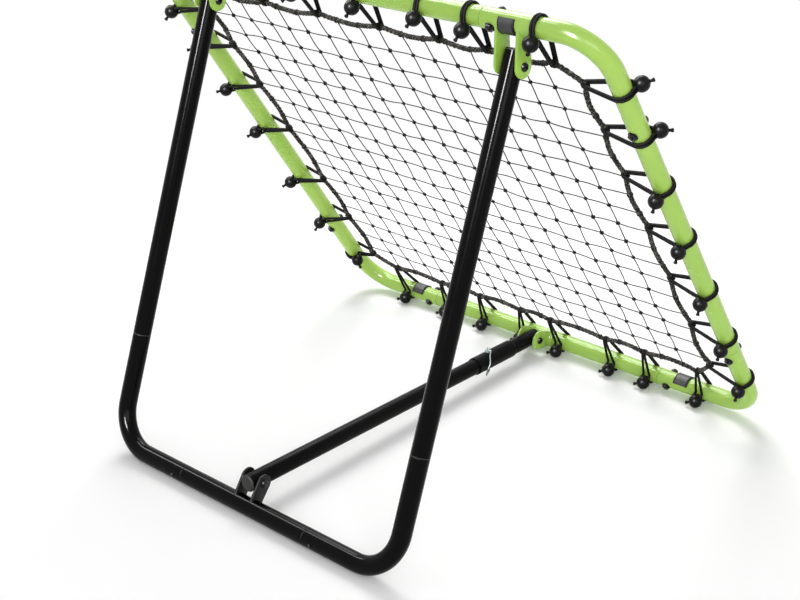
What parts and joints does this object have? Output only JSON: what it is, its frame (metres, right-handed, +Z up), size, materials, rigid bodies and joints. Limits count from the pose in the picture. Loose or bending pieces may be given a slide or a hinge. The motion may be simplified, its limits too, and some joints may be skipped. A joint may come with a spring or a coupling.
{
  "type": "multisport rebounder",
  "caption": "Square lime-green tube frame holding an elastic-laced net, leaning back on a folding black U-shaped leg frame and a pinned strut.",
  "frame": {"origin": "centre of the bounding box, on the floor", "axes": "+Z up; the playing face of the net looks towards -Y and the legs stand towards +Y; +X runs along the frame's bars"},
  "size_m": [1.0301, 0.865, 0.8481],
  "materials": {
    "lime_powder_coat": "glossy powder coat",
    "black_powder_coat": "glossy powder coat",
    "black_bolts": "satin black coated steel",
    "black_plastic": "semi-gloss moulded",
    "grey_rubber": "matte moulded",
    "edge_rope": "braided",
    "net_twine": "twisted twine",
    "zinc_steel": "bright zinc plate"
  },
  "bodies": {
    "net_frame": {"frame_corner_bottom_left": "lime_powder_coat", "frame_corner_bottom_right": "lime_powder_coat", "frame_corner_top_left": "lime_powder_coat", "frame_corner_top_right": "lime_powder_coat", "frame_tube_bottom": "lime_powder_coat", "frame_tube_top": "lime_powder_coat", "frame_tube_left": "lime_powder_coat", "frame_tube_right": "lime_powder_coat", "hinge_ear_outer_left": "lime_powder_coat", "hinge_ear_inner_left": "lime_powder_coat", "hinge_ear_outer_right": "lime_powder_coat", "hinge_ear_inner_right": "lime_powder_coat", "strut_bracket_front": "lime_powder_coat", "frame_bolt_bottom_left": "black_bolts", "frame_bolt_bottom_right": "black_bolts", "frame_bolt_top_left": "black_bolts", "frame_bolt_top_right": "black_bolts", "frame_bolt_side_bottom_left": "black_bolts", "frame_bolt_side_bottom_right": "black_bolts", "frame_bolt_side_top_left": "black_bolts", "frame_bolt_side_top_right": "black_bolts", "top_pad_left": "grey_rubber", "top_pad_right": "grey_rubber", "bottom_pad_left": "grey_rubber", "bottom_pad_right": "grey_rubber", "hinge_bolt_left": "black_bolts", "hinge_bolt_right": "black_bolts", "strut_bolt_front": "black_bolts", "net_mesh": "net_twine", "edge_rope_loops": "edge_rope", "floor_ball_1": "black_plastic", "floor_ball_2": "black_plastic", "floor_ball_3": "black_plastic", "floor_ball_4": "black_plastic", "floor_ball_5": "black_plastic", "floor_ball_6": "black_plastic", "floor_ball_7": "black_plastic", "floor_ball_8": "black_plastic"},
    "leg_frame": {"leg_tube_left": "black_powder_coat", "leg_tube_right": "black_powder_coat", "leg_corner_left": "black_powder_coat", "leg_corner_right": "black_powder_coat", "leg_bottom_tube": "black_powder_coat", "leg_end_cap_left": "black_plastic", "leg_end_cap_right": "black_plastic", "leg_left_spring": "zinc_steel", "leg_right_spring": "zinc_steel", "foot_left_spring": "zinc_steel", "foot_right_spring": "zinc_steel", "strut_bolt_rear_head": "black_powder_coat", "strut_bolt_rear_nut": "black_powder_coat"},
    "strut": {"strut_socket": "black_powder_coat", "strut_tube": "black_powder_coat", "strut_end_cap": "black_plastic"},
    "lock_pin": {"lock_pin": "zinc_steel"},
    "pin_bail": {"pin_bail": "zinc_steel"},
    "leg_left_button": {"leg_left_button": "zinc_steel"},
    "leg_right_button": {"leg_right_button": "zinc_steel"},
    "foot_left_button": {"foot_left_button": "zinc_steel"},
    "foot_right_button": {"foot_right_button": "zinc_steel"}
  },
  "joints": [
    {"name": "leg_fold", "type": "hinge", "parent": "net_frame", "child": "leg_frame", "pos_m": [0, 0.13087, 0.76379], "axis": [1, 0, 0], "range_deg": [-51.2, 0]},
    {"name": "strut_fold", "type": "hinge", "parent": "net_frame", "child": "strut", "pos_m": [0, -0.36427, 0.03508], "axis": [1, 0, 0], "range_deg": [0, 55]},
    {"name": "pin_pull", "type": "slide", "parent": "strut", "child": "lock_pin", "axis": [0, -0.0226, 0.9997], "range_m": [0, 0.05]},
    {"name": "bail_swing", "type": "hinge", "parent": "lock_pin", "child": "pin_bail", "pos_m": [0, -0.22781, 0.06069], "axis": [0, 0.9997, 0.0226], "range_deg": [0, 100.5]},
    {"name": "leg_left_button_press", "type": "slide", "parent": "leg_frame", "child": "leg_left_button", "axis": [-1, 0, 0], "range_m": [0, 0.0035], "stiffness_N_per_m": 600},
    {"name": "leg_right_button_press", "type": "slide", "parent": "leg_frame", "child": "leg_right_button", "axis": [-1, 0, 0], "range_m": [0, 0.0035], "stiffness_N_per_m": 600},
    {"name": "foot_left_button_press", "type": "slide", "parent": "leg_frame", "child": "foot_left_button", "axis": [0, -1, 0], "range_m": [0, 0.0035], "stiffness_N_per_m": 600},
    {"name": "foot_right_button_press", "type": "slide", "parent": "leg_frame", "child": "foot_right_button", "axis": [0, -1, 0], "range_m": [0, 0.0035], "stiffness_N_per_m": 600}
  ],
  "couplings": [
    {"joint": "strut_fold", "follows": "leg_fold", "ratio": -1.0682},
    {"joint": "bail_swing", "follows": "pin_pull", "rad_per_m": 34.9}
  ]
}
